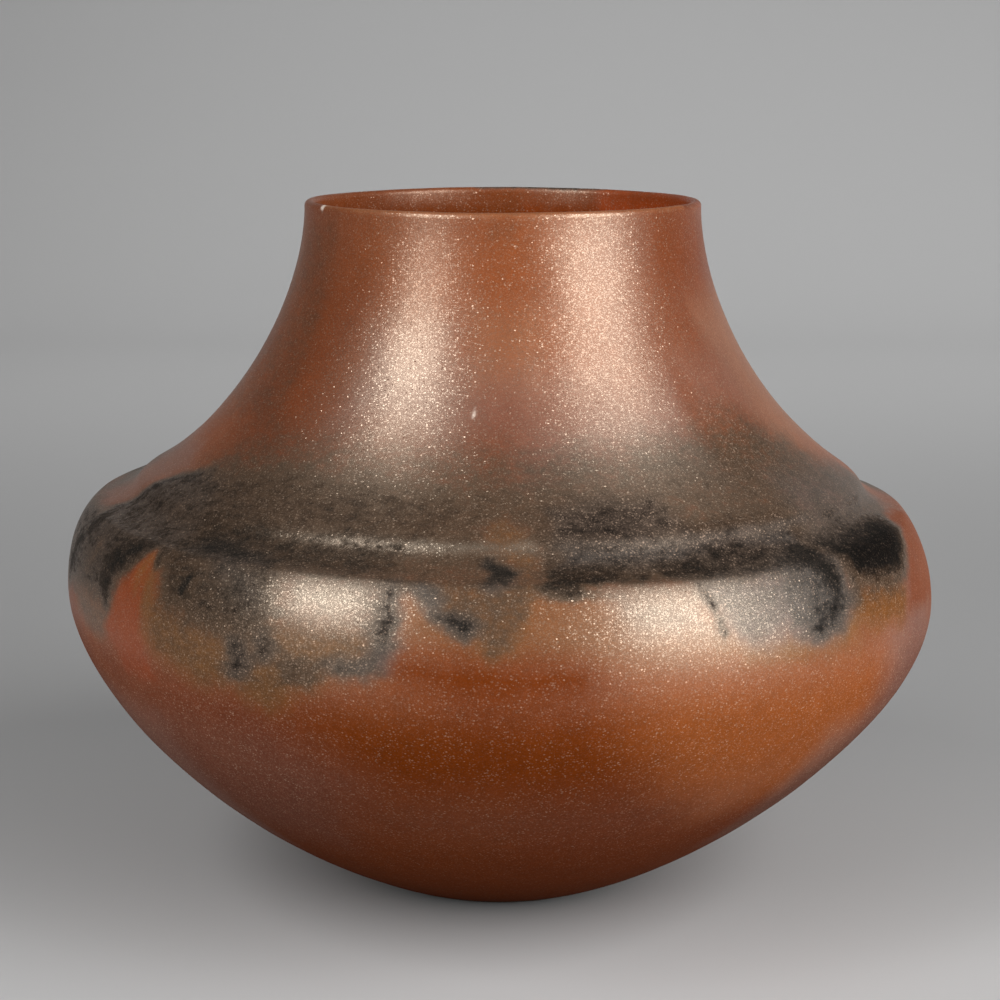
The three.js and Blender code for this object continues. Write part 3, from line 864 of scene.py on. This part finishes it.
    # scraped and sooted clay is matt
    gloss = rangeNode(tree, flakes, 0.0, 1.0, clayFinish["groundRoughness"], clayFinish["flakeRoughness"])
    polished = rangeNode(tree, sumNode(tree, "MULTIPLY", burnish, dulled), 0.0, stoneMarks["polishedBy"])
    matt = sumNode(tree, "SUBTRACT", clayFinish["mattRoughness"], gloss)
    gloss = sumNode(tree, "MULTIPLY_ADD", sumNode(tree, "SUBTRACT", 1.0, polished), matt, gloss)
    roundJar = addNode(tree, "ShaderNodeTangent", {"direction_type": "RADIAL", "axis": "Z"}, {}).outputs[0]
    surface = addNode(tree, "ShaderNodeBsdfPrincipled", {}, {
        "Base Color": colour, "Metallic": metal, "Roughness": gloss, "Normal": facing,
        "IOR": clayFinish["micaIndex"], "Specular IOR Level": shine, "Specular Tint": clayFinish["micaTint"],
        "Anisotropic": clayFinish["strokeSpread"], "Anisotropic Rotation": stoneMarks["spreadTurn"],
        "Tangent": roundJar,
    })
    addNode(tree, "ShaderNodeOutputMaterial", {}, {"Surface": surface.outputs[0]})
    return clay


def raiseJar():
    ends = courseEnds()
    texture = bpy.data.textures.new("handUndulation", "CLOUDS")
    texture.cloud_type = "COLOR"
    texture.noise_scale = handLean["undulationSize"] * mm
    clay = makeClay()
    for number, (node, _) in enumerate(ends):
        section = courseSection(number, ends)
        piece = turnCourse(node + "_burnished", section, closed=number > 0)
        places = vertexPlaces(piece) / mm
        azimuth = np.degrees(np.arctan2(places[:, 0], -places[:, 1]))
        radius = np.hypot(places[:, 0], places[:, 1])
        reach = np.hypot(radius[:, None] - section[:, 0], places[:, 2][:, None] - section[:, 1])
        rowOf = np.argmin(reach, axis=1)
        layBakeMap(piece, section, rowOf, azimuth)
        leanCourse(piece)
        layFiringAndLightMarks(piece, section[rowOf, 2], azimuth)
        undulateCourse(piece, texture)
        bpy.ops.object.shade_smooth_by_angle(angle=math.radians(coilCourses["smoothUpTo"]))
        piece.data.materials.append(clay)
        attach(piece, "root")
        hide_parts(node)
        print("course", number + 1, node, "with", len(piece.data.polygons), "faces")


raiseJar()

# A seamless sweep of plain paper under and behind the jar
studioPaper = {
    "width": 9,
    "front": -4,
    "back": 3.2,
    "height": 4,
    "bend": 1.2,
    "bendSegments": 24,
    "colour": (0.6, 0.6, 0.6, 1),
    "roughness": 0.9,
    "shine": 0.1,
}


def rollOutPaper():
    depth = studioPaper["back"] - studioPaper["front"]
    bpy.ops.object.select_all(action="DESELECT")
    bpy.ops.mesh.primitive_plane_add(size=1, location=(0, 0, 0))
    paper = bpy.context.object
    paper.name = "studioPaper"
    bpy.ops.object.mode_set(mode="EDIT")
    bpy.ops.mesh.select_all(action="SELECT")
    bpy.ops.transform.resize(value=(studioPaper["width"], depth, 1))
    bpy.ops.transform.translate(value=(0, studioPaper["front"] + depth / 2, 0))
    bpy.ops.mesh.select_mode(type="EDGE")
    bpy.ops.mesh.select_all(action="DESELECT")
    bpy.ops.object.mode_set(mode="OBJECT")
    for line in paper.data.edges:
        line.select = all(paper.data.vertices[end].co.y > studioPaper["back"] - mm for end in line.vertices)
    bpy.ops.object.mode_set(mode="EDIT")
    bpy.ops.mesh.extrude_region_move(TRANSFORM_OT_translate={"value": (0, 0, studioPaper["height"])})
    bpy.ops.mesh.select_all(action="DESELECT")
    bpy.ops.object.mode_set(mode="OBJECT")
    for line in paper.data.edges:
        ends = [paper.data.vertices[end].co for end in line.vertices]
        line.select = all(end.y > studioPaper["back"] - mm and end.z < mm for end in ends)
    bpy.ops.object.mode_set(mode="EDIT")
    bpy.ops.mesh.bevel(offset=studioPaper["bend"], segments=studioPaper["bendSegments"], affect="EDGES")
    bpy.ops.object.mode_set(mode="OBJECT")
    bpy.ops.object.shade_smooth()
    plain = bpy.data.materials.new("plainPaper")
    plain.use_nodes = True
    surface = plain.node_tree.nodes["Principled BSDF"]
    surface.inputs["Base Color"].default_value = studioPaper["colour"]
    surface.inputs["Roughness"].default_value = studioPaper["roughness"]
    surface.inputs["Specular IOR Level"].default_value = studioPaper["shine"]
    paper.data.materials.append(plain)


rollOutPaper()
print("paper rolled out")

# Two tall softboxes beside the camera, the right one wider, a weak one at the right, and a dim grey room
studioLight = {
    "aim": (0, 0, 0.8),
    "leftBox": {"azimuth": -46, "distance": 1.35, "height": 1.16, "width": 0.54, "tall": 1.6, "roll": 14,
                "power": 17.2},
    "rightBox": {"azimuth": 53, "distance": 1.35, "height": 0.94, "width": 0.98, "tall": 1.6, "roll": -12,
                 "power": 26.6},
    "sideBox": {"azimuth": 112, "distance": 1.5, "height": 0.8, "width": 1.0, "tall": 1.2, "roll": 0,
                "power": 0.4},
    "paperLamp": {"place": (1.35, 1.23, 1.7), "size": (5, 0.76), "tilt": 35, "spread": 117, "power": 17.3},
    "roomGrey": (1, 1, 1, 1),
    "roomLevel": 0.06,
}


def hangBox(name):
    box = studioLight[name]
    around = math.radians(box["azimuth"])
    lamp = bpy.data.lights.new(name, "AREA")
    lamp.shape = "RECTANGLE"
    lamp.size = box["width"]
    lamp.size_y = box["tall"]
    lamp.energy = box["power"]
    softbox = bpy.data.objects.new(name, lamp)
    spot = Vector((math.sin(around) * box["distance"], -math.cos(around) * box["distance"], box["height"]))
    softbox.location = spot
    facing = (Vector(studioLight["aim"]) - spot).to_track_quat("-Z", "Y")
    softbox.rotation_euler = (facing @ Quaternion((0, 0, 1), math.radians(box["roll"]))).to_euler()
    softbox.visible_camera = False
    bpy.context.scene.collection.objects.link(softbox)


# A lamp over the paper behind the jar, shaded so that none of it reaches the jar
def hangPaperLamp():
    shade = studioLight["paperLamp"]
    lamp = bpy.data.lights.new("paperLamp", "AREA")
    lamp.shape = "RECTANGLE"
    lamp.size, lamp.size_y = shade["size"]
    lamp.spread = math.radians(shade["spread"])
    lamp.energy = shade["power"]
    overhead = bpy.data.objects.new("paperLamp", lamp)
    overhead.location = shade["place"]
    overhead.rotation_euler = (math.radians(shade["tilt"]), 0, 0)
    overhead.visible_camera = False
    bpy.context.scene.collection.objects.link(overhead)


for name in ("leftBox", "rightBox", "sideBox"):
    hangBox(name)
hangPaperLamp()
room = bpy.data.worlds.new("greyRoom")
room.use_nodes = True
room.node_tree.nodes["Background"].inputs["Color"].default_value = studioLight["roomGrey"]
room.node_tree.nodes["Background"].inputs["Strength"].default_value = studioLight["roomLevel"]
bpy.context.scene.world = room
print("lights hung")

# The photograph's viewpoint: a long lens, a little above the mouth
viewpoint = {"place": (0, -1.100, 0.390), "lookDown": 10.91, "lens": 86.2, "sensor": 36}
camera = bpy.data.objects.new("viewpoint", bpy.data.cameras.new("viewpoint"))
camera.location = viewpoint["place"]
camera.rotation_euler = (math.radians(upright - viewpoint["lookDown"]), 0, 0)
camera.data.lens = viewpoint["lens"]
camera.data.sensor_width = viewpoint["sensor"]
bpy.context.scene.collection.objects.link(camera)
bpy.context.scene.camera = camera
bpy.context.scene.view_settings.view_transform = "Standard"
